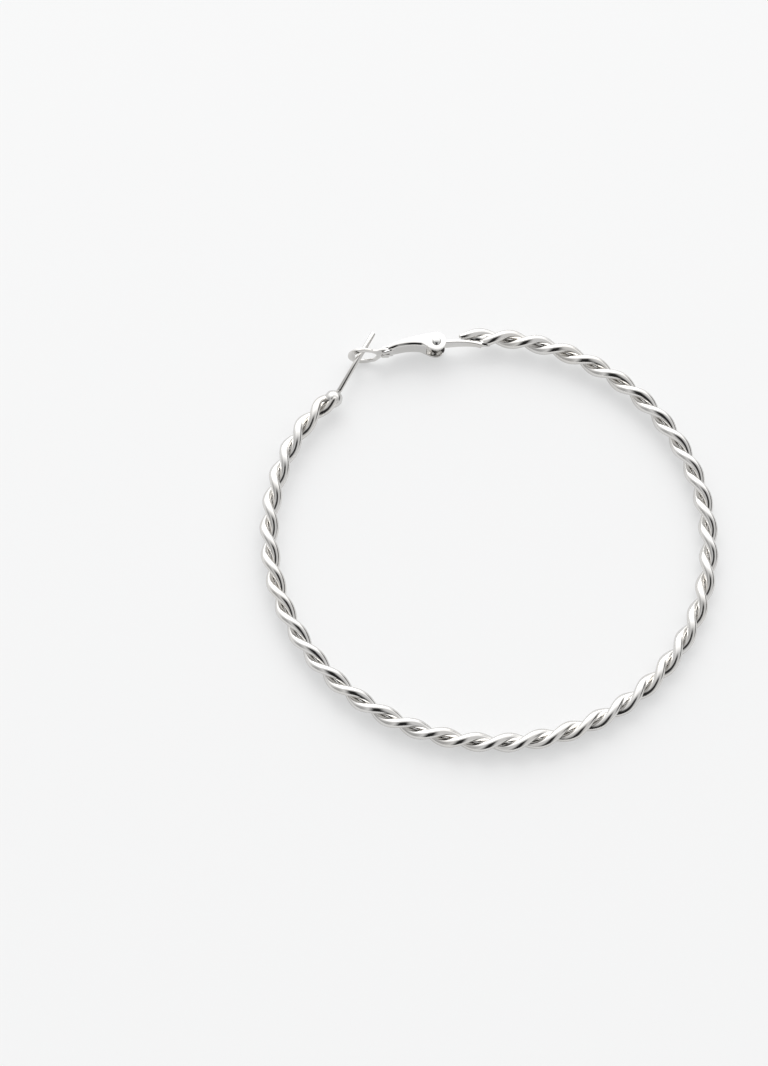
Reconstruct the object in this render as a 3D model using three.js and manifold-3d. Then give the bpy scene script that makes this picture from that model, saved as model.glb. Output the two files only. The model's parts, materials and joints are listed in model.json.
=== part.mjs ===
// A hoop earring: two round wires twisted into a hoop, with a clip-and-post closure.
// Millimetres, +Z up. The closed earring lies on its side on the plane z = 0, with the hoop's
// centre over the origin and its opening at the upper left, seen from above.
// Every piece is drawn in the hoop's own frame, whose XY plane is the hoop's middle plane.
import * as THREE from 'three';
import { mergeVertices } from 'three/addons/utils/BufferGeometryUtils.js';
import Module from 'manifold-3d';

const DEG = Math.PI / 180;

// ---- driving dimensions: the rope -----------------------------------------------------------
const HOOP_RADIUS = 33.4;          // centreline of the twisted rope
const WIRE_DIAMETER = 1.48;
const WIRE_GAP = 0.03;             // hairline left between the two wires
const TWIST_PITCH = 9.3;          // length of rope for one whole turn, left-handed
const TWIST_START = 162 * DEG;     // where the first wire would lie round the rope at the clasp end
const END_SLACK = 42 * DEG;        // how far its last few millimetres have sprung back from there
const SLACK_LENGTH = 1.5;          // fading over about this length
const CLASP_END = 96.4 * DEG;      // bearing of the rope's end beside the clasp
const BEAD_END = -225.2 * DEG;     // bearing of its other end, the long way round
const BEAD_INSET = 0.75;           // how far that end bends in towards the post
const INSET_LENGTH = 3.5;          // fading over about this length
const SECOND_WIRE_SHORTER = 5.6 * DEG;
const WIRE_SIDES = 8;
const STEPS_PER_TURN = 8;
const CLASP_SOLDER = { halfLength: 2.2, halfWidth: 0.95, halfHeight: 0.85 };

// ---- the post and its bead ------------------------------------------------------------------
const BEAD_CENTRE = [-23.35, 23.25];
const BEAD_DIAMETER = 2.2;
const POST_FOOT = [-22.9, 23.3];   // where the post's axis starts, inside the bead
const POST_DIAMETER = 0.8;
const POST_BEARING = 61 * DEG;
const POST_LENGTH = 12.35;         // from its foot to the tip
const POST_TIP_LENGTH = 0.2;       // the softened end
const POST_TIP_RADIUS = 0.25;

// ---- the clasp's lever, from the rivet's axis -------------------------------------------------
const PIVOT = [-7.24, 32.05];
const LEVER_BEARING = 189.3 * DEG; // from the rivet to the loop, closed
const LEVER_HEIGHT = 3.0;          // over both cheeks
const SHEET = 0.42;
const HEAD_RADIUS = 1.45;          // round head of each cheek
const CHEEK_END = 7.6;             // where the cheeks end and the pinched neck starts
const CHEEK_TAPER = 0.0165;        // how fast its outer edge comes in towards the neck
const SPINE_INNER = -0.2;          // inner face of the spine at the neck
const SPINE_START = [-1.55, -0.66]; // the spine's inner face beside the heads
const SPINE_BEND = [-2.05, -0.45];
const SPINE_RISE = [-2.5, -0.25];  // where it has risen clear of the heads
const SPINE_ARCH = [-4.6, 0.35];   // the control point of its long arch
const HEAD_IN = [-1.6, -0.75];     // the control point that joins the round head to the spine
const HEAD_IN_ANGLE = -105 * DEG;
const PINCH_LENGTH = 1.2;
const NECK_THICKNESS = 0.85;
const NECK_HALF_HEIGHT = 1.25;
const LOOP_SHEET = 0.4;
const LOOP_CENTRE = [11.5, 0.03];  // along the lever and outwards from it
const LOOP_TURN = 9.3 * DEG;       // the loop is bent outwards from the lever by this much
const LOOP_OUTER = { halfLength: 2.38, halfHeight: 2.32 };
const SHANK_RIM = 0.72;            // where the shank leaves the loop, as a share of its half length
const LOOP_HOLE = { halfLength: 1.70, halfHeight: 1.45, nearer: 0.40 };

// ---- the hinge --------------------------------------------------------------------------------
const RIVET_DIAMETER = 0.7;
const RIVET_HEAD_DIAMETER = 1.34;
const RIVET_DOME = 0.35;
const RIVET_TAIL = 0.2;            // thickness of the flattened lower end
const RIVET_TAIL_TAPER = 0.85;     // its narrower face, as a share of the head
const FIT = 0.1;                   // clearance between pieces that move on each other
const KNUCKLE_RADIUS = 0.82;
const TAB_THICKNESS = 0.5;
const TAB_END = [-0.1, 31.95];     // where the tab lies against the rope
const TAB_BOW = [-2.9, 32.38];     // a point that the tab passes through between its ends
const TAB_END_HALF_HEIGHT = 0.55;

// ---- worked out from them ----------------------------------------------------------------------
const WIRE_RADIUS = WIRE_DIAMETER / 2;
const TWIST_RADIUS = (WIRE_RADIUS + WIRE_GAP / 2) / Math.cos(Math.PI / STEPS_PER_TURN);
const ROPE_RADIUS = TWIST_RADIUS + WIRE_RADIUS;
const ROPE_TURNS = (CLASP_END - BEAD_END) * HOOP_RADIUS / TWIST_PITCH;
const KNUCKLE_HALF_HEIGHT = LEVER_HEIGHT / 2 - SHEET - FIT;
const BORE_RADIUS = RIVET_DIAMETER / 2 + FIT;

const silver = new THREE.MeshStandardMaterial({ color: 0xe6e6e4, metalness: 1, roughness: 0.08 });
const rivetSilver = new THREE.MeshStandardMaterial({ color: 0xd2d2d0, metalness: 1, roughness: 0.15 });

const wasm = await Module();
wasm.setup();

// A closed three.js geometry as a solid that can be joined and cut.
function solid(geometry) {
  const bare = geometry.clone();
  bare.deleteAttribute('normal');
  bare.deleteAttribute('uv');
  const merged = mergeVertices(bare, 1e-5);
  return new wasm.Manifold(new wasm.Mesh({
    numProp: 3,
    vertProperties: new Float32Array(merged.attributes.position.array),
    triVerts: new Uint32Array(merged.index.array),
  }));
}

function join(solids) {
  return solids.reduce((all, next) => all.add(next));
}

// A finished solid as a named mesh.
function piece(name, body, material) {
  const { vertProperties, triVerts } = body.getMesh();
  const geometry = new THREE.BufferGeometry();
  geometry.setAttribute('position', new THREE.BufferAttribute(new Float32Array(vertProperties), 3));
  geometry.setIndex(new THREE.BufferAttribute(new Uint32Array(triVerts), 1));
  geometry.computeVertexNormals();
  const mesh = new THREE.Mesh(geometry, material);
  mesh.name = name;
  return mesh;
}

// A flat outline in XY, raised from one height to another.
function plate(outline, low, high, curveSegments = 10) {
  const geometry = new THREE.ExtrudeGeometry(outline, {
    depth: high - low, bevelEnabled: false, curveSegments,
  });
  return geometry.translate(0, 0, low);
}

// A flat outline in XZ, as thick in Y as thickness says, about the line y = middle.
function wall(outline, middle, thickness, curveSegments = 10) {
  return plate(outline, -thickness / 2, thickness / 2, curveSegments)
    .rotateX(Math.PI / 2).translate(0, middle, 0);
}

// A round bar or disc along Z.
function round(radius, low, high, sides) {
  return new THREE.CylinderGeometry(radius, radius, high - low, sides)
    .rotateX(Math.PI / 2).translate(0, 0, (low + high) / 2);
}

// A point in the hoop's plane at a bearing and a distance from the hoop's centre.
function onHoop(bearing, radius = HOOP_RADIUS) {
  return [radius * Math.cos(bearing), radius * Math.sin(bearing)];
}

// ---- the rope --------------------------------------------------------------------------------
// The centreline of one wire: a helix wrapped round the hoop's circle.
class TwistedWire extends THREE.Curve {
  constructor(start, side) {
    super();
    this.start = start;
    this.side = side;
    this.arcLengthDivisions = 3000;
  }

  getPoint(t, target = new THREE.Vector3()) {
    const bearing = this.start + (BEAD_END - this.start) * t;
    const fromClasp = (CLASP_END - bearing) * HOOP_RADIUS;
    const fromBead = (bearing - BEAD_END) * HOOP_RADIUS;
    const turned = fromClasp / TWIST_PITCH * 2 * Math.PI;
    const slack = END_SLACK * Math.exp(-fromClasp / SLACK_LENGTH);
    const angle = TWIST_START + this.side - turned - slack;
    const bentIn = BEAD_INSET * Math.exp(-fromBead / INSET_LENGTH);
    const radius = HOOP_RADIUS - bentIn + TWIST_RADIUS * Math.cos(angle);
    const [x, y] = onHoop(bearing, radius);
    return target.set(x, y, TWIST_RADIUS * Math.sin(angle));
  }
}

function wire(start, side) {
  const section = new THREE.Shape().absarc(0, 0, WIRE_RADIUS, 0, 2 * Math.PI);
  return new THREE.ExtrudeGeometry(section, {
    extrudePath: new TwistedWire(start, side),
    steps: Math.round(ROPE_TURNS * STEPS_PER_TURN),
    curveSegments: WIRE_SIDES / 2,   // an arc takes two sides for each
    bevelEnabled: false,
  });
}

// A blob of solder round a point of the rope, long along it.
function solder(bearing, { halfLength, halfWidth, halfHeight }) {
  const [x, y] = onHoop(bearing);
  return new THREE.SphereGeometry(1, 10, 6)
    .scale(halfWidth, halfLength, halfHeight).rotateZ(bearing).translate(x, y, 0);
}

function post() {
  const radius = POST_DIAMETER / 2;
  const profile = [
    new THREE.Vector2(0, 0),
    new THREE.Vector2(radius, 0),
    new THREE.Vector2(radius, POST_LENGTH - POST_TIP_LENGTH),
    new THREE.Vector2(POST_TIP_RADIUS, POST_LENGTH),
    new THREE.Vector2(0, POST_LENGTH)];
  return new THREE.LatheGeometry(profile, 12)
    .rotateZ(POST_BEARING - Math.PI / 2).translate(...POST_FOOT, 0);
}

function bead() {
  return new THREE.SphereGeometry(BEAD_DIAMETER / 2, 12, 8).translate(...BEAD_CENTRE, 0);
}

// The tab: a strip on edge, bent along a shallow curve and narrower where it meets the rope.
function tab() {
  const middle = new THREE.QuadraticBezierCurve(
    new THREE.Vector2(...PIVOT),
    new THREE.Vector2(2 * TAB_BOW[0] - (PIVOT[0] + TAB_END[0]) / 2,
      2 * TAB_BOW[1] - (PIVOT[1] + TAB_END[1]) / 2),
    new THREE.Vector2(...TAB_END));
  const stations = [0, 0.2, 0.4, 0.6, 0.8, 1];
  const side = (sign) => stations.map((t) => {
    const along = middle.getTangent(t);
    return middle.getPoint(t).add(
      new THREE.Vector2(-along.y, along.x).multiplyScalar(sign * TAB_THICKNESS / 2));
  });
  const strip = new THREE.Shape([...side(1), ...side(-1).reverse()]);
  const tall = KNUCKLE_HALF_HEIGHT;
  const short = TAB_END_HALF_HEIGHT;
  const [near, far] = [PIVOT[0], TAB_END[0] + TAB_THICKNESS];
  const taper = new THREE.Shape([
    new THREE.Vector2(near, -tall), new THREE.Vector2(far, -short),
    new THREE.Vector2(far, short), new THREE.Vector2(near, tall)]);
  return solid(plate(strip, -tall, tall))
    .intersect(solid(wall(taper, TAB_BOW[1], 4 * KNUCKLE_RADIUS)));
}

function knuckle() {
  return round(KNUCKLE_RADIUS, -KNUCKLE_HALF_HEIGHT, KNUCKLE_HALF_HEIGHT, 16)
    .translate(...PIVOT, 0);
}

function rivetBore(radius) {
  return solid(round(radius, -LEVER_HEIGHT, LEVER_HEIGHT, 12));
}

function twistedHoop() {
  const soldered = join([
    solid(wire(CLASP_END, 0)),
    solid(wire(CLASP_END - SECOND_WIRE_SHORTER, Math.PI)),
    solid(solder(CLASP_END - SECOND_WIRE_SHORTER, CLASP_SOLDER)),
    solid(bead()),
    solid(post()),
    tab(),
    solid(knuckle()),
  ]);
  return piece('twisted_hoop', soldered.subtract(rivetBore(BORE_RADIUS).translate([...PIVOT, 0])), silver);
}

// ---- the lever, drawn closed with its rivet at the origin and its loop along -X -----------------
// Its outer side is +Y; the spine that joins the two cheeks runs along the inner side.
function cheekOutline() {
  const outer = (reach) => HEAD_RADIUS - CHEEK_TAPER * reach * reach;
  const outline = new THREE.Shape();
  outline.moveTo(-CHEEK_END, outer(CHEEK_END));
  outline.quadraticCurveTo(-CHEEK_END / 2, HEAD_RADIUS, 0, HEAD_RADIUS);
  outline.absarc(0, 0, HEAD_RADIUS, Math.PI / 2, HEAD_IN_ANGLE, true);
  outline.quadraticCurveTo(...HEAD_IN, ...SPINE_RISE);
  outline.quadraticCurveTo(...SPINE_ARCH, -CHEEK_END, SPINE_INNER);
  return outline;
}

function cheek(low) {
  return solid(plate(cheekOutline(), low, low + SHEET, 8)).subtract(rivetBore(BORE_RADIUS));
}

function spine() {
  const inner = ([x, y]) => [x, y];
  const outer = ([x, y]) => [x, y + SHEET];
  const neck = [-CHEEK_END, SPINE_INNER];
  const strip = new THREE.Shape();
  strip.moveTo(...inner(SPINE_START));
  strip.lineTo(...outer(SPINE_START));
  strip.quadraticCurveTo(...outer(SPINE_BEND), ...outer(SPINE_RISE));
  strip.quadraticCurveTo(...outer(SPINE_ARCH), ...outer(neck));
  strip.lineTo(...inner(neck));
  strip.quadraticCurveTo(...inner(SPINE_ARCH), ...inner(SPINE_RISE));
  strip.quadraticCurveTo(...inner(SPINE_BEND), ...inner(SPINE_START));
  return solid(plate(strip, -LEVER_HEIGHT / 2, LEVER_HEIGHT / 2, 6));
}

// The flat end: the loop that snaps over the post, cut from one upright sheet, and the short
// length of the same sheet that joins it to the neck.
function loopPlate({ halfLength, halfHeight, nearer = 0 }, thickness) {
  const outline = new THREE.Shape().absellipse(nearer, 0, halfLength, halfHeight, 0, 2 * Math.PI);
  const [reach, out] = LOOP_CENTRE;
  return solid(wall(outline, 0, thickness, 12)
    .rotateZ(-LOOP_TURN).translate(-reach, out, 0));
}

function shank() {
  const root = [-CHEEK_END, SPINE_INNER + SHEET / 2];
  const rim = LOOP_OUTER.halfLength * SHANK_RIM;
  const end = [
    -LOOP_CENTRE[0] + rim * Math.cos(LOOP_TURN), LOOP_CENTRE[1] - rim * Math.sin(LOOP_TURN)];
  const length = Math.hypot(root[0] - end[0], root[1] - end[1]);
  const endHalfHeight = LOOP_OUTER.halfHeight * Math.sqrt(1 - SHANK_RIM ** 2);
  const outline = new THREE.Shape([
    new THREE.Vector2(0, -endHalfHeight), new THREE.Vector2(length, -NECK_HALF_HEIGHT),
    new THREE.Vector2(length, NECK_HALF_HEIGHT), new THREE.Vector2(0, endHalfHeight)]);
  return solid(wall(outline, 0, LOOP_SHEET)
    .rotateZ(Math.atan2(root[1] - end[1], root[0] - end[0])).translate(...end, 0));
}

// The cheeks' ends, folded against the sheet and pinched.
function neckPinch() {
  return solid(new THREE.BoxGeometry(PINCH_LENGTH, NECK_THICKNESS, 2 * NECK_HALF_HEIGHT)
    .translate(SHEET - CHEEK_END - PINCH_LENGTH / 2, SPINE_INNER + NECK_THICKNESS / 2, 0));
}

function claspLever() {
  const half = LEVER_HEIGHT / 2;
  const folded = join([
    cheek(half - SHEET), cheek(-half), spine(), neckPinch(), shank(),
    loopPlate(LOOP_OUTER, LOOP_SHEET)]).subtract(loopPlate(LOOP_HOLE, 4 * LOOP_SHEET));
  const lever = piece('clasp_lever', folded, silver);
  lever.position.set(...PIVOT, 0);
  lever.rotation.z = LEVER_BEARING - Math.PI;
  return lever;
}

// ---- the rivet ---------------------------------------------------------------------------------
// A lathed pin with a domed upper head and a flattened lower end, clear of both cheeks.
function hingeRivet() {
  const top = LEVER_HEIGHT / 2 + FIT / 2;
  const pin = RIVET_DIAMETER / 2;
  const head = RIVET_HEAD_DIAMETER / 2;
  const dome = [0, 30, 60].map((angle) => new THREE.Vector2(
    head * Math.cos(angle * DEG), top + RIVET_DOME * Math.sin(angle * DEG)));
  const profile = [
    new THREE.Vector2(0, -top - RIVET_TAIL),
    new THREE.Vector2(head * RIVET_TAIL_TAPER, -top - RIVET_TAIL),
    new THREE.Vector2(head, -top),
    new THREE.Vector2(pin, -top),
    new THREE.Vector2(pin, top),
    ...dome,
    new THREE.Vector2(0, top + RIVET_DOME),
  ];
  const rivet = piece('hinge_rivet',
    solid(new THREE.LatheGeometry(profile, 16).rotateX(Math.PI / 2)), rivetSilver);
  rivet.position.set(...PIVOT, 0);
  return rivet;
}

// ---- at rest -------------------------------------------------------------------------------------
// The loop reaches lower than the rope, so the earring lies on the loop's edge and on the far side
// of the hoop, very slightly tilted.
const loopSpot = new THREE.Vector2(
  PIVOT[0] + LOOP_CENTRE[0] * Math.cos(LEVER_BEARING),
  PIVOT[1] + LOOP_CENTRE[0] * Math.sin(LEVER_BEARING));
const restTilt = Math.atan2(LOOP_OUTER.halfHeight - ROPE_RADIUS, loopSpot.length() + HOOP_RADIUS);
const tiltAxis = new THREE.Vector3(Math.sin(loopSpot.angle()), -Math.cos(loopSpot.angle()), 0);

const earring = new THREE.Group();
earring.add(twistedHoop(), claspLever(), hingeRivet());
earring.quaternion.setFromAxisAngle(tiltAxis, restTilt);
earring.position.z = ROPE_RADIUS * Math.cos(restTilt) + HOOP_RADIUS * Math.sin(restTilt);

export default earring;
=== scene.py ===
import bpy
import bmesh
import json
from math import cos, sin, tau, radians, sqrt, exp
from mathutils import Matrix, Vector


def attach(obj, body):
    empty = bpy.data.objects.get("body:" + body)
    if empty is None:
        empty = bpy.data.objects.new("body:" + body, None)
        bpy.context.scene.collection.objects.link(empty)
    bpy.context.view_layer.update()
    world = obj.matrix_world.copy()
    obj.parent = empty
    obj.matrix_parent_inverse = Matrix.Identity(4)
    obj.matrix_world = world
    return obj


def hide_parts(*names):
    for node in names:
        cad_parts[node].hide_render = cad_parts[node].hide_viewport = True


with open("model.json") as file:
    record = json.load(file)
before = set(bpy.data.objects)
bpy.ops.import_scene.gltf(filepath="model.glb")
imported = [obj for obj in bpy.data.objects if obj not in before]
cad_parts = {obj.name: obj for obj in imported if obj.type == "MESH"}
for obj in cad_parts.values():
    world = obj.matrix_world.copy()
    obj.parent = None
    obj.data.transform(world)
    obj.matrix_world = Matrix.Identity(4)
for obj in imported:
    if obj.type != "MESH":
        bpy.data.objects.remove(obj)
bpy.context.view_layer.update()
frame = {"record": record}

# ---- Sizes, in millimetres, in the hoop's own frame: its middle plane is the XY plane ----------
MM = 0.001
HOOP_RADIUS = 33.4
WIRE_RADIUS = 0.731
TWIST_RADIUS = 0.755
TWIST_PITCH = 9.3
TWIST_START = radians(162)
END_SLACK = radians(42)
SLACK_LENGTH = 1.5
CLASP_END = radians(96.4)
BEAD_END = radians(-225.2)
BEAD_INSET = 0.75
INSET_LENGTH = 3.5
SECOND_WIRE_SHORTER = radians(5.6)

BEAD_CENTRE = (-23.3, 22.78)
BEAD_HALF_SIZES = (1.38, 1.4, 1.32)
POST_RADIUS = 0.4
POST_BEARING = radians(61)
POST_FOOT = (-22.9, 23.3)
POST_LENGTH = 12.35

LEVER_BEARING = radians(189.3)
LEVER_HEIGHT = 3.0
SHEET = 0.42
HEAD_RADIUS = 1.45
CHEEK_TAPER = 0.0165
CHEEK_END = 7.6
LOOP_CENTRE = (11.5, 0.03)
LOOP_TURN = radians(9.3)
LOOP_OUTER = (2.38, 2.32)
LOOP_HOLE = (1.7, 1.45)
LOOP_HOLE_NEARER = 0.4
LOOP_SHEET = 0.36

RIVET_RADIUS = 0.35
RIVET_HEAD_RADIUS = 0.67
RIVET_DOME = 0.35
RIVET_TAIL = 0.2
FIT = 0.1
KNUCKLE_RADIUS = 0.82
TAB_THICKNESS = 0.46
TAB_END = (-0.1, 31.95)
TAB_BOW = (-2.9, 32.38)
TAB_END_HALF_HEIGHT = 0.55

# ---- The hoop's frame in the row's frame, from the hinge ----------------------------------------
hinge = frame["record"]["behaviour"]["joints"][0]
normal = -Vector(hinge["axis"]).normalized()
pivot_at = Vector(hinge["pos_m"])
lift = pivot_at.dot(normal) / normal.z
hoop_place = (Matrix.Translation((0, 0, lift))
              @ Vector((0, 0, 1)).rotation_difference(normal).to_matrix().to_4x4())
drawn_in_mm = hoop_place @ Matrix.Scale(MM, 4)
PIVOT = drawn_in_mm.inverted() @ pivot_at


# ---- Camera ----------------------------------------------------------------------------------
CAMERA_DISTANCE = 500
CAMERA_AIM = (-15.92, 1.0, -1.6)
CAMERA_AZIMUTH = radians(-7.95)
CAMERA_ELEVATION = radians(66.48)
CAMERA_ROLL = radians(7.3)
LENS = 111.2
SENSOR_WIDTH = 36


def add_camera():
    data = bpy.data.cameras.new("camera")
    data.lens = LENS
    data.sensor_width = SENSOR_WIDTH
    camera = bpy.data.objects.new("camera", data)
    bpy.context.collection.objects.link(camera)
    aim = (Matrix.Rotation(CAMERA_AZIMUTH, 4, "Z")
           @ Matrix.Rotation(radians(90) - CAMERA_ELEVATION, 4, "X")
           @ Matrix.Rotation(CAMERA_ROLL, 4, "Z"))
    back = aim.to_3x3() @ Vector((0, 0, 1))
    spot = (Vector(CAMERA_AIM) + back * CAMERA_DISTANCE) * MM
    camera.matrix_world = hoop_place @ Matrix.Translation(spot) @ aim
    bpy.context.scene.camera = camera


# ---- Shader building ----------------------------------------------------------------------------
class Amount:
    """A shader value that can be reckoned with like a number."""

    def __init__(self, finish, socket):
        self.finish = finish
        self.socket = socket

    def _math(self, operation, first, second):
        return self.finish.add("ShaderNodeMath", {"operation": operation}, [first, second])

    def __add__(self, other):
        return self._math("ADD", self, other)

    __radd__ = __add__

    def __mul__(self, other):
        return self._math("MULTIPLY", self, other)

    __rmul__ = __mul__

    def __sub__(self, other):
        return self._math("SUBTRACT", self, other)

    def __rsub__(self, other):
        return self._math("SUBTRACT", other, self)


class Finish:
    """A node tree under construction, for a material or for the world."""

    def __init__(self, tree):
        self.tree = tree
        tree.nodes.clear()

    def put(self, socket, value):
        if isinstance(value, Amount):
            self.tree.links.new(value.socket, socket)
        else:
            socket.default_value = value

    def add(self, kind, settings=None, inputs=(), output=0):
        """A node of that kind; inputs is a list in order, or a dict of socket name to value."""
        node = self.tree.nodes.new(kind)
        for name, value in (settings or {}).items():
            setattr(node, name, value)
        pairs = inputs.items() if isinstance(inputs, dict) else enumerate(inputs)
        for key, value in pairs:
            self.put(node.inputs[key], value)
        return Amount(self, node.outputs[output]) if node.outputs else node

    def noise(self, where, scale, detail=2, roughness=0.5, distortion=0.0):
        return self.add("ShaderNodeTexNoise", {}, {
            "Vector": where, "Scale": scale, "Detail": detail,
            "Roughness": roughness, "Distortion": distortion})

    def spread(self, value, low, high, to_low=0.0, to_high=1.0):
        return self.add("ShaderNodeMapRange", {"clamp": True},
                        {"Value": value, "From Min": low, "From Max": high,
                         "To Min": to_low, "To Max": to_high})

    def stretched(self, where, scale):
        return self.add("ShaderNodeMapping", {}, {"Vector": where, "Scale": scale})


DRAWN_LINES = 0.6
DRAWN_STRETCH = (0.12, 15.0, 1.0)
WAVE_STRETCH = (0.9, 1.6, 1.0)
POLISH_LINES = 0.12
POLISH_STRETCH = (900, 5200, 5200)
WAVE_SCALE = 900
MOTTLE_SCALE = 420
GRAIN_SCALE = 5200
TARNISH_SCALE = 160
TARNISH_SHARE = 0.55
TARNISH_TINT = (0.985, 0.965, 0.935)
RELIEF = 0.00002


def polished_silver(name, tone, sheen_low, sheen_high, dents, lines_along=None):
    """Silver plate: fine hairlines, a faint mottle in the shine, and slow waves left by the polish.

    lines_along names the UV map whose U runs along a drawn wire, where the hairlines follow it.
    """
    material = bpy.data.materials.new(name)
    material.use_nodes = True
    finish = Finish(material.node_tree)
    body = finish.add("ShaderNodeTexCoord", output="Object")
    if lines_along:
        run = finish.add("ShaderNodeUVMap", {"uv_map": lines_along})
        hairline = finish.noise(finish.stretched(run, DRAWN_STRETCH), 1.0, 3, 0.6)
        wave = finish.noise(finish.stretched(run, WAVE_STRETCH), 1.0, 1, 0.4)
        lines = DRAWN_LINES
    else:
        hairline = finish.noise(finish.stretched(body, POLISH_STRETCH), 1.0, 3, 0.6)
        wave = finish.noise(body, WAVE_SCALE, 1, 0.4)
        lines = POLISH_LINES
    mottle = finish.noise(body, MOTTLE_SCALE, 3, 0.55)
    grain = finish.noise(body, GRAIN_SCALE, 2, 0.6)
    tarnish = finish.spread(finish.noise(body, TARNISH_SCALE, 2, 0.5), 0.42, 0.68)
    scratches = finish.spread(hairline, 0.6, 0.72)

    warm = tuple(channel * shade for channel, shade in zip(tone, TARNISH_TINT))
    colour = finish.add("ShaderNodeMix", {"data_type": "RGBA"},
                        {"Factor": tarnish * TARNISH_SHARE, "A": (*tone, 1), "B": (*warm, 1)}, output=2)
    shine = finish.spread(mottle, 0.35, 0.65, sheen_low, sheen_high)
    roughness = shine + scratches * 0.05 + grain * 0.02

    height = wave * dents + hairline * lines + grain * 0.03
    bump = finish.add("ShaderNodeBump", {}, {"Strength": 0.35, "Distance": RELIEF, "Height": height})
    shader = finish.add("ShaderNodeBsdfPrincipled", {}, {
        "Base Color": colour, "Metallic": 1.0, "Roughness": roughness, "Normal": bump})
    finish.add("ShaderNodeOutputMaterial", {}, [shader])
    return material


# ---- Mesh helpers --------------------------------------------------------------------------------
def finished(mesh_maker, name, body, material, replaces=(), place=drawn_in_mm):
    """A bmesh drawn in millimetres becomes a piece in its place."""
    bmesh.ops.recalc_face_normals(mesh_maker, faces=mesh_maker.faces)
    mesh = bpy.data.meshes.new(name)
    mesh_maker.to_mesh(mesh)
    mesh_maker.free()
    mesh.transform(place)
    mesh.shade_smooth()
    mesh.materials.append(material)
    piece = bpy.data.objects.new(name, mesh)
    bpy.context.collection.objects.link(piece)
    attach(piece, body)
    if replaces:
        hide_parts(*replaces)
    return piece


def on_hoop(bearing, radius=HOOP_RADIUS, height=0.0):
    return Vector((radius * cos(bearing), radius * sin(bearing), height))


# ---- The two twisted wires --------------------------------------------------------------------
WIRE_STATIONS = 1100
WIRE_SIDES = 28
HELIX_STRETCH = 1.13
DOMED_LENGTH = 0.7
SLANT_LENGTH = 3.2
CLIPPED_ROUNDING = 0.35
SAWN_ROUNDING = 0.3


def twist_angle(bearing, side):
    from_clasp = (CLASP_END - bearing) * HOOP_RADIUS
    slack = END_SLACK * exp(-from_clasp / SLACK_LENGTH)
    return TWIST_START + side - from_clasp / TWIST_PITCH * tau - slack


def rope_radius(bearing):
    """The rope's own middle, which bends in towards the post at the bead."""
    from_bead = (bearing - BEAD_END) * HOOP_RADIUS
    return HOOP_RADIUS - BEAD_INSET * exp(-from_bead / INSET_LENGTH)


def wire_centre(bearing, side):
    angle = twist_angle(bearing, side)
    return on_hoop(bearing, rope_radius(bearing) + TWIST_RADIUS * cos(angle), TWIST_RADIUS * sin(angle))


def rounded_end(distance, depth):
    """How wide a round bar is near its domed end, as a share of its full width."""
    if distance >= depth:
        return 1.0
    return sqrt(max(0.0, 1 - (1 - distance / depth) ** 2))


def crowded(share, reach=0.012):
    """Where a station stands, as a share of the wire, with the stations near both ends drawn in."""
    if share < reach:
        return share ** 2 / reach
    if share > 1 - reach:
        return 1 - (1 - share) ** 2 / reach
    return share


def twisted_wire(name, start, side, material, taper, replaces=()):
    """One wire of the rope: a grid rolled into a tube along its helix, with closed ends."""
    length = (start - BEAD_END) * HOOP_RADIUS
    rope = bmesh.new()
    rope.loops.layers.uv.new("run")
    bmesh.ops.create_grid(rope, x_segments=WIRE_STATIONS, y_segments=WIRE_SIDES, size=0.5,
                          calc_uvs=True)
    run = rope.loops.layers.uv.verify()
    for face in rope.faces:
        for loop in face.loops:
            loop[run].uv = ((loop.vert.co.x + 0.5) * length * HELIX_STRETCH,
                            (loop.vert.co.y + 0.5) * tau * WIRE_RADIUS)
    for vert in rope.verts:
        share, turn = vert.co.x + 0.5, (vert.co.y + 0.5) * tau
        # Stations crowd towards both ends, where the wire is rounded off.
        share = crowded(share)
        bearing = start + (BEAD_END - start) * share
        centre = wire_centre(bearing, side)
        ahead = (wire_centre(bearing - 1e-4, side) - wire_centre(bearing + 1e-4, side)).normalized()
        out = (centre - on_hoop(bearing, rope_radius(bearing))).normalized()
        across = ahead.cross(out).normalized()
        out = across.cross(ahead)
        from_start, from_end = share * length, (1 - share) * length
        left = taper(from_start)
        width = WIRE_RADIUS * left * rounded_end(from_end, DOMED_LENGTH)
        # A filed end keeps the wire's upper, outer side.
        kept_side = (on_hoop(bearing, 1) + Vector((0, 0, 1))).normalized()
        lift = kept_side * WIRE_RADIUS * (1 - max(left, 0.5))
        vert.co = centre + lift + (out * -cos(turn) + across * sin(turn)) * width
    bmesh.ops.remove_doubles(rope, verts=rope.verts, dist=1e-4)
    return finished(rope, name, "hoop", material, replaces)


def clipped_end(distance):
    """The first wire's end: filed to a slant that narrows over a few millimetres."""
    slant = min(1.0, 0.5 + 0.5 * sin(min(distance / SLANT_LENGTH, 1.0) * tau / 4))
    return slant * rounded_end(distance, CLIPPED_ROUNDING)


def sawn_end(distance):
    """The second wire's end: cut straight and a little rounded."""
    return rounded_end(distance, SAWN_ROUNDING)


add_camera()
wire_silver = polished_silver("wire_silver", (0.705, 0.695, 0.68), 0.03, 0.09, 1.0, "run")
twisted_wire("long_wire", CLASP_END, 0.0, wire_silver, clipped_end, ["twisted_hoop"])
twisted_wire("short_wire", CLASP_END - SECOND_WIRE_SHORTER, tau / 2, wire_silver, sawn_end)


# ---- Solder, bead and post --------------------------------------------------------------------
def ball(segments, rings, centre, half_sizes, bearing=0.0):
    """A round or stretched ball; half_sizes run outwards, along the hoop and up."""
    blob = bmesh.new()
    shape = (Matrix.Translation(centre) @ Matrix.Rotation(bearing, 4, "Z")
             @ Matrix.Diagonal((*half_sizes, 1)))
    bmesh.ops.create_uvsphere(blob, u_segments=segments, v_segments=rings, radius=1, matrix=shape)
    return blob


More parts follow.
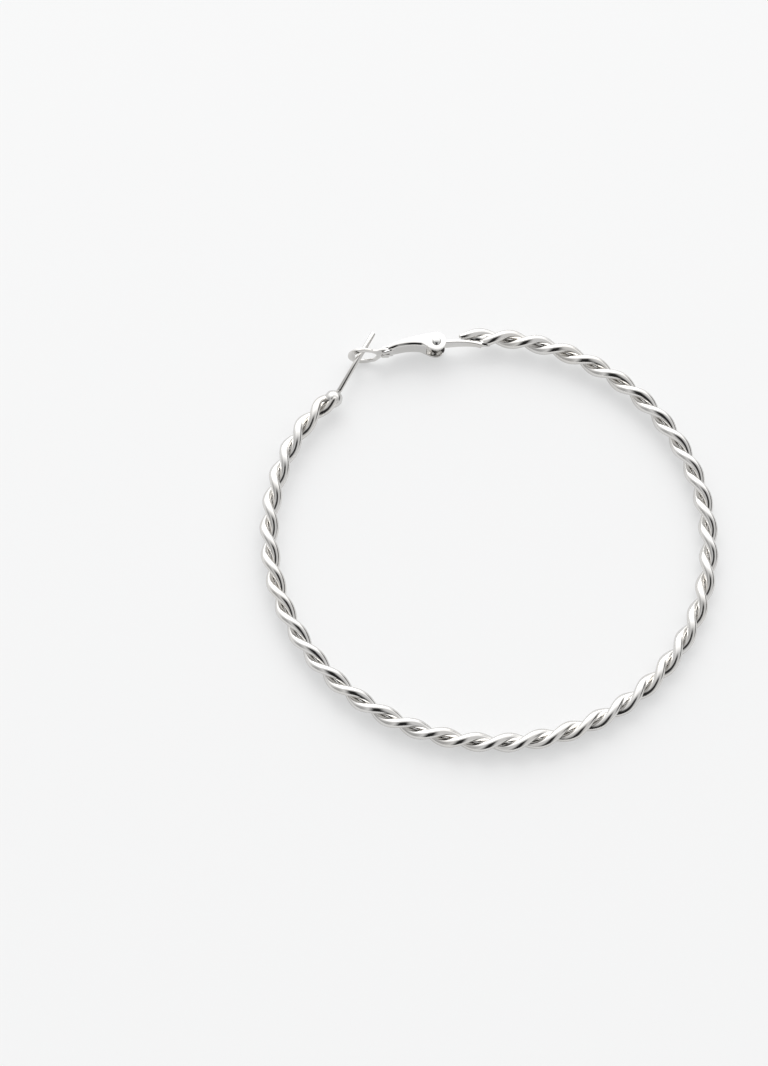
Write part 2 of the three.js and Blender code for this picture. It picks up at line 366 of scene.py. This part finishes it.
def solder_blob(name, centre, half_sizes, bearing, material, lumps=0.05):
    """Solder that has flowed: a stretched ball with slow, shallow lumps."""
    blob = ball(40, 24, centre, half_sizes, bearing)
    for vert in blob.verts:
        around = vert.co - centre
        ripple = sin(around.x * 4.1 + 1.3) * sin(around.y * 3.7) + 0.6 * sin(around.z * 5.3 + 0.4)
        vert.co = centre + around * (1 + lumps * ripple)
    return finished(blob, name, "hoop", material)


def ear_post(material):
    """The straight wire that goes through the ear, with a softened flat tip."""
    along = Vector((cos(POST_BEARING), sin(POST_BEARING), 0))
    middle = Vector((*POST_FOOT, 0)) + along * POST_LENGTH / 2
    post = bmesh.new()
    lie_down = Vector((0, 0, 1)).rotation_difference(along).to_matrix().to_4x4()
    bmesh.ops.create_cone(post, cap_ends=True, segments=40, radius1=POST_RADIUS, radius2=POST_RADIUS,
                          depth=POST_LENGTH, matrix=Matrix.Translation(middle) @ lie_down)
    tip = [edge for edge in post.edges
           if all((vert.co - middle).dot(along) > POST_LENGTH / 2 - 0.01 for vert in edge.verts)]
    bmesh.ops.bevel(post, geom=tip, offset=0.16, segments=5, profile=0.5, affect="EDGES", material=-1)
    return finished(post, "ear_post", "hoop", material)


# ---- Sheet metal --------------------------------------------------------------------------------
SHARP = 1.2


def sharp_edges(sheet):
    return [edge for edge in sheet.edges if edge.is_manifold and edge.calc_face_angle() > SHARP]


def cut_sheet(outlines, thickness, rim):
    """A flat sheet in XY between z = 0 and its thickness, with holes and a rounded rim."""
    sheet = bmesh.new()
    for outline in outlines:
        corners = [sheet.verts.new((*point, 0)) for point in outline]
        for first, second in zip(corners, corners[1:] + corners[:1]):
            sheet.edges.new((first, second))
    bmesh.ops.triangle_fill(sheet, use_beauty=True, use_dissolve=False, edges=sheet.edges[:])
    bmesh.ops.recalc_face_normals(sheet, faces=sheet.faces)
    if sheet.faces[:][0].normal.z > 0:
        bmesh.ops.reverse_faces(sheet, faces=sheet.faces[:])
    bmesh.ops.solidify(sheet, geom=sheet.faces[:], thickness=thickness)
    bmesh.ops.bevel(sheet, geom=sharp_edges(sheet), offset=rim, segments=3, profile=0.5,
                    affect="EDGES", material=-1)
    return sheet


def ellipse(centre, half_sizes, start=0.0, end=tau, steps=64):
    """Points on an ellipse in order; a whole one leaves out its repeated last point."""
    last = steps if abs(end - start) >= tau - 1e-6 else steps + 1
    angles = [start + (end - start) * i / steps for i in range(last)]
    return [(centre[0] + half_sizes[0] * cos(a), centre[1] + half_sizes[1] * sin(a)) for a in angles]


def ease(share):
    share = max(0.0, min(1.0, share))
    return share * share * (3 - 2 * share)


def through(at, start, end):
    """A smooth curve between two places, each given as (x, y, slope)."""
    (x0, y0, slope0), (x1, y1, slope1) = start, end
    span = x1 - x0
    t = (at - x0) / span
    return (y0 * (1 - 3 * t * t + 2 * t ** 3) + slope0 * span * (t - 2 * t * t + t ** 3)
            + y1 * (3 * t * t - 2 * t ** 3) + slope1 * span * (t ** 3 - t * t))


# The lever's sizes are taken from the rivet's axis: reach runs towards the loop, and out runs
# away from the hoop's centre.
HEAD_OPEN = 1.55
HEAD_ROUND_END = 0.5
HEAD_ROUND_ANGLE = radians(20.2)
FOLD = 0.45
FOLD_RUN = 0.9
NECK_DROP = 0.3
NECK_START = 6.0
NECK_RUN = 1.8
CHANNEL_RIM = 0.06
HEAD_LEAVES = (HEAD_ROUND_END, -sqrt(HEAD_RADIUS ** 2 - HEAD_ROUND_END ** 2), 0.37)
SPINE_RISEN = (2.5, -0.25, 0.286)
SPINE_AT_NECK = (CHEEK_END, -0.2, -0.183)


def cheek_out(reach):
    """The cheek's outer edge."""
    if reach < 0:
        return sqrt(max(0.0, HEAD_RADIUS ** 2 - reach ** 2))
    return HEAD_RADIUS - CHEEK_TAPER * reach ** 2


def cheek_in(reach):
    """The inner edge: the round head, then an S into the arched face of the spine."""
    if reach < HEAD_ROUND_END:
        return -sqrt(max(0.0, HEAD_RADIUS ** 2 - reach ** 2))
    if reach < SPINE_RISEN[0]:
        return through(reach, HEAD_LEAVES, SPINE_RISEN)
    return through(reach, SPINE_RISEN, SPINE_AT_NECK)


def lever_frame():
    """From lever sizes (reach, out, height) to the hoop's frame."""
    turn = Matrix.Rotation(LEVER_BEARING, 4, "Z") @ Matrix.Diagonal((1, -1, 1, 1))
    return drawn_in_mm @ Matrix.Translation(PIVOT) @ turn


def channel_column(column, head_columns, slope_columns, body_columns):
    """Where along the lever a column of the folded strip stands."""
    if column <= head_columns:
        widest = tau / 4 + HEAD_ROUND_ANGLE
        return -HEAD_RADIUS * cos(widest * column / head_columns)
    if column <= head_columns + slope_columns:
        share = (column - head_columns) / slope_columns
        return HEAD_ROUND_END + (HEAD_OPEN - HEAD_ROUND_END) * share
    share = (column - head_columns - slope_columns) / body_columns
    return HEAD_OPEN + (CHEEK_END - HEAD_OPEN) * share


def folded_channel(material, place):
    """The strip folded into two cheeks and a spine, from the round heads to the neck."""
    head_columns, slope_columns, body_columns = 40, 12, 60
    columns = head_columns + slope_columns + body_columns
    cheek_rows, fold_rows, spine_rows = 8, 7, 8
    rows = 2 * cheek_rows + 2 * fold_rows + spine_rows
    mid = SHEET / 2
    channel = bmesh.new()
    bmesh.ops.create_grid(channel, x_segments=columns, y_segments=rows, size=0.5)
    spare = []
    for face in channel.faces:
        centre = face.calc_center_median()
        column, row = (centre.x + 0.5) * columns, (centre.y + 0.5) * rows
        if column < head_columns + slope_columns and cheek_rows < row < rows - cheek_rows:
            spare.append(face)
    bmesh.ops.delete(channel, geom=spare, context="FACES")
    for vert in channel.verts:
        column, row = round((vert.co.x + 0.5) * columns), round((vert.co.y + 0.5) * rows)
        reach = channel_column(column, head_columns, slope_columns, body_columns)
        reach = max(-HEAD_RADIUS, min(CHEEK_END, reach))
        side = 1 if row < rows / 2 else -1
        row = min(row, rows - row)
        top = LEVER_HEIGHT / 2 - mid - NECK_DROP * ease((reach - NECK_START) / NECK_RUN)
        bend = (FOLD - mid) * ease((reach - HEAD_OPEN) / FOLD_RUN)
        folded = column >= head_columns + slope_columns
        spine = cheek_in(reach) + mid
        inner = spine + bend if folded else cheek_in(reach)
        if row <= cheek_rows:
            out = cheek_out(reach) + (inner - cheek_out(reach)) * row / cheek_rows
            height = top
        elif row <= cheek_rows + fold_rows:
            angle = (row - cheek_rows) / fold_rows * tau / 4
            out = spine + bend * (1 - sin(angle))
            height = top - bend * (1 - cos(angle))
        else:
            out = spine
            height = (top - bend) * (1 - 2 * (row - cheek_rows - fold_rows) / spine_rows)
        vert.co = (reach, out, side * height)
    bmesh.ops.remove_doubles(channel, verts=channel.verts, dist=1e-4)
    piece = finished(channel, "lever_channel", "lever", material, ["clasp_lever"], place=place)
    thicken = piece.modifiers.new("thickness", "SOLIDIFY")
    thicken.thickness = SHEET * MM
    thicken.offset = 0
    thicken.use_even_offset = True
    soften = piece.modifiers.new("rim", "BEVEL")
    soften.width = CHANNEL_RIM * MM
    soften.segments = 3
    soften.limit_method = "ANGLE"
    soften.angle_limit = radians(60)
    return piece


LOOP_RIM = 0.07
SHOULDER = radians(128)
SHANK_ROOT = -4.7
SHANK_ROOT_HALF = 1.05
SHANK_JOG = 0.62
JOG_RUN = 1.7


def loop_sheet(material, place):
    """The flat end of the strip: the oval loop on edge and the shank that jogs into the neck."""
    rim = ellipse((0, 0), LOOP_OUTER, -SHOULDER, SHOULDER, 72)
    end_x, end_z = rim[-1]
    steps = [i / 14 for i in range(1, 15)]
    upper = [(end_x + (SHANK_ROOT - end_x) * t, end_z + (SHANK_ROOT_HALF - end_z) * ease(t * 1.5))
             for t in steps]
    outline = rim + upper + [(x, -z) for x, z in reversed(upper)]
    hole = ellipse((-LOOP_HOLE_NEARER, 0), LOOP_HOLE, steps=64)
    sheet = cut_sheet([outline, hole], LOOP_SHEET, LOOP_RIM)
    stand = Matrix.Rotation(radians(90), 4, "X") @ Matrix.Translation((0, 0, -LOOP_SHEET / 2))
    bmesh.ops.transform(sheet, matrix=stand, verts=sheet.verts)
    lean = sum(vert.co.y for vert in sheet.verts) / len(sheet.verts)
    for vert in sheet.verts:
        vert.co.y += SHANK_JOG * ease((end_x - 0.2 - vert.co.x) / JOG_RUN) - lean
    turn = Matrix.Translation((*LOOP_CENTRE, 0)) @ Matrix.Rotation(LOOP_TURN, 4, "Z")
    bmesh.ops.transform(sheet, matrix=turn, verts=sheet.verts)
    return finished(sheet, "lever_loop", "lever", material, place=place)


def crimped_lip(name, centre, half_sizes, lean, material, place):
    """One of the strip's ends, folded over the shank and pressed down on it."""
    lip = bmesh.new()
    shape = (Matrix.Translation(centre) @ Matrix.Rotation(lean, 4, "Y")
             @ Matrix.Diagonal((*[2 * half for half in half_sizes], 1)))
    bmesh.ops.create_cube(lip, size=1, matrix=shape)
    bmesh.ops.bevel(lip, geom=lip.edges[:], offset=min(half_sizes) * 0.8, segments=5, profile=0.5,
                    affect="EDGES", material=-1)
    return finished(lip, name, "lever", material, place=place)


def crimped_neck(material, place):
    for side, name in ((1, "upper"), (-1, "lower")):
        crimped_lip(f"crimp_{name}_inner", (7.95, -0.28, 0.62 * side), (0.62, 0.17, 0.42),
                    radians(14) * side, material, place)
        crimped_lip(f"crimp_{name}_outer", (7.85, 0.4, 0.6 * side), (0.6, 0.17, 0.48),
                    radians(8) * side, material, place)
    crimped_lip("crimp_fold", (7.15, 0.05, 0.0), (0.42, 0.42, 1.12), 0.0, material, place)


# ---- The hinge ------------------------------------------------------------------------------------
TAB_RIM = 0.1


def hinge_tab(material):
    """The strip on edge that carries the lever, bowed a little and narrower at the rope."""
    start, end = PIVOT.xy, Vector(TAB_END)
    control = 2 * Vector(TAB_BOW) - (start + end) / 2
    reach, rise = 40, 10
    tall = LEVER_HEIGHT / 2 - SHEET - FIT
    strip = bmesh.new()
    spots = []
    bmesh.ops.create_grid(strip, x_segments=reach, y_segments=rise, size=0.5)
    for vert in strip.verts:
        t, up = vert.co.x + 0.5, vert.co.y * 2
        spot = start * (1 - t) ** 2 + control * 2 * t * (1 - t) + end * t ** 2
        height = (tall + (TAB_END_HALF_HEIGHT - tall) * ease(t)) * up
        vert.co = (spot.x, spot.y, height)
        spots.append(vert.co.copy())
    bmesh.ops.recalc_face_normals(strip, faces=strip.faces)
    bmesh.ops.solidify(strip, geom=strip.faces[:], thickness=TAB_THICKNESS)
    bmesh.ops.bevel(strip, geom=sharp_edges(strip), offset=TAB_RIM, segments=3, profile=0.5,
                    affect="EDGES", material=-1)
    middle = sum((vert.co for vert in strip.verts), Vector()) / len(strip.verts)
    shift = sum(spots, Vector()) / len(spots) - middle
    bmesh.ops.translate(strip, verts=strip.verts, vec=(shift.x, shift.y, 0))
    return finished(strip, "hinge_tab", "hoop", material)


def turned(profile, centre):
    """A profile of (radius, height) spun round the rivet's axis."""
    lathe = bmesh.new()
    points = [lathe.verts.new((radius, 0, height)) for radius, height in profile]
    edges = [lathe.edges.new(pair) for pair in zip(points, points[1:])]
    bmesh.ops.spin(lathe, geom=points + edges, cent=(0, 0, 0), axis=(0, 0, 1), angle=tau,
                   steps=48, use_merge=True)
    bmesh.ops.remove_doubles(lathe, verts=lathe.verts, dist=1e-4)
    bmesh.ops.translate(lathe, verts=lathe.verts, vec=centre)
    return lathe


def knuckle(material):
    """The tab's rolled end, which the rivet goes through."""
    tall, bore, rim = LEVER_HEIGHT / 2 - SHEET - FIT, RIVET_RADIUS + FIT, 0.08
    outside = KNUCKLE_RADIUS
    profile = [(bore, -tall), (outside - rim, -tall), (outside, -tall + rim),
               (outside, tall - rim), (outside - rim, tall), (bore, tall), (bore, -tall)]
    return finished(turned(profile, PIVOT), "hinge_knuckle", "hoop", material)


def rivet(material):
    """A pin with a domed upper head and a hammered lower one."""
    top = LEVER_HEIGHT / 2 + FIT / 2
    head = RIVET_HEAD_RADIUS
    dome = [(head * cos(radians(a)), top + 0.06 + (RIVET_DOME - 0.06) * sin(radians(a)))
            for a in range(0, 90, 6)]
    profile = [(0, -top - RIVET_TAIL), (head * 0.8, -top - RIVET_TAIL), (head * 0.95, -top - 0.12),
               (head, -top - 0.03), (head * 0.97, -top), (RIVET_RADIUS, -top), (RIVET_RADIUS, top),
               (head * 0.97, top), *dome, (0, top + RIVET_DOME)]
    return finished(turned(profile, PIVOT), "domed_rivet", "hoop", material, ["hinge_rivet"])


sheet_silver = polished_silver("sheet_silver", (0.705, 0.695, 0.68), 0.04, 0.1, 0.6)
solder_silver = polished_silver("solder_silver", (0.666, 0.662, 0.655), 0.08, 0.2, 1.6)
rivet_silver = polished_silver("rivet_silver", (0.622, 0.622, 0.614), 0.08, 0.16, 0.8)

clasp_joint = CLASP_END - radians(4.6)
solder_blob("clasp_solder", on_hoop(clasp_joint, HOOP_RADIUS - 0.1), (0.8, 1.9, 0.66), clasp_joint,
            solder_silver)
solder_blob("tab_solder", Vector((0.25, 32.25, 0.1)), (0.42, 0.95, 0.5), radians(75), solder_silver)
solder_blob("post_bead", Vector((*BEAD_CENTRE, 0.0)), BEAD_HALF_SIZES, 0.0, solder_silver, 0.02)
ear_post(sheet_silver)
hinge_tab(sheet_silver)
knuckle(sheet_silver)
lever_place = lever_frame()
folded_channel(sheet_silver, lever_place)
loop_sheet(sheet_silver, lever_place)
crimped_neck(sheet_silver, lever_place)
rivet(rivet_silver)


# ---- Floor and light ----------------------------------------------------------------------------
FLOOR_TONE = (0.37, 0.37, 0.37, 1)
FLOOR_GLOW = (0.475, 0.477, 0.478, 1)


def add_floor():
    """A pale glowing table, so that the shadows on it stay faint."""
    floor = bmesh.new()
    bmesh.ops.create_grid(floor, x_segments=1, y_segments=1, size=1.5)
    mesh = bpy.data.meshes.new("floor")
    floor.to_mesh(mesh)
    floor.free()
    plane = bpy.data.objects.new("floor", mesh)
    bpy.context.collection.objects.link(plane)
    material = bpy.data.materials.new("floor_white")
    material.use_nodes = True
    finish = Finish(material.node_tree)
    shader = finish.add("ShaderNodeBsdfPrincipled", {}, {
        "Base Color": FLOOR_TONE, "Roughness": 0.9, "Specular IOR Level": 0.1,
        "Emission Color": FLOOR_GLOW, "Emission Strength": 1.0})
    finish.add("ShaderNodeOutputMaterial", {}, [shader])
    mesh.materials.append(material)


def add_softbox(name, at, size, power):
    """A large rectangular light, facing the middle of the floor."""
    data = bpy.data.lights.new(name, "AREA")
    data.shape = "RECTANGLE"
    data.size, data.size_y = size
    data.energy = power
    light = bpy.data.objects.new(name, data)
    light.location = at
    light.rotation_euler = Vector(at).to_track_quat("Z", "Y").to_euler()
    bpy.context.collection.objects.link(light)


OVERHEAD_LIGHT = 0.78
BACK_LIGHT = 1.7
FRONT_DARKNESS = 0.97
SIDE_DARKNESS = 0.88
LEFT_DARKNESS = 0.4


def add_studio():
    """A white tent: bright behind, grey overhead, with a dark opening in front and one at the right."""
    world = bpy.data.worlds.new("studio")
    bpy.context.scene.world = world
    world.use_nodes = True
    finish = Finish(world.node_tree)
    way = finish.add("ShaderNodeTexCoord", output="Generated")
    right, back, up = (finish.add("ShaderNodeSeparateXYZ", {}, [way], output=i) for i in range(3))
    aside = finish.add("ShaderNodeMath", {"operation": "ABSOLUTE"}, [right + 0.03])
    tent = finish.spread(back, -0.05, 0.5, OVERHEAD_LIGHT, BACK_LIGHT)
    front = finish.spread(back, 0.0, -0.32) * finish.spread(aside, 0.52, 0.2)
    side = (finish.spread(right, 0.6, 0.88) * finish.spread(up, 0.5, 0.3)
            * finish.spread(back, -0.5, -0.15))
    left = finish.spread(right, -0.6, -0.85) * LEFT_DARKNESS
    shade = tent * (1 - FRONT_DARKNESS * front) * (1 - SIDE_DARKNESS * side) * (1 - left)
    grey = finish.add("ShaderNodeCombineColor", {}, [shade, shade, shade])
    background = finish.add("ShaderNodeBackground", {}, {"Color": grey, "Strength": 1.0})
    finish.add("ShaderNodeOutputWorld", {}, [background])
    add_softbox("back_softbox", (-0.1, 1.1, 0.86), (1.2, 0.85), 11.0)


add_floor()
add_studio()
bpy.context.scene.view_settings.view_transform = "Standard"
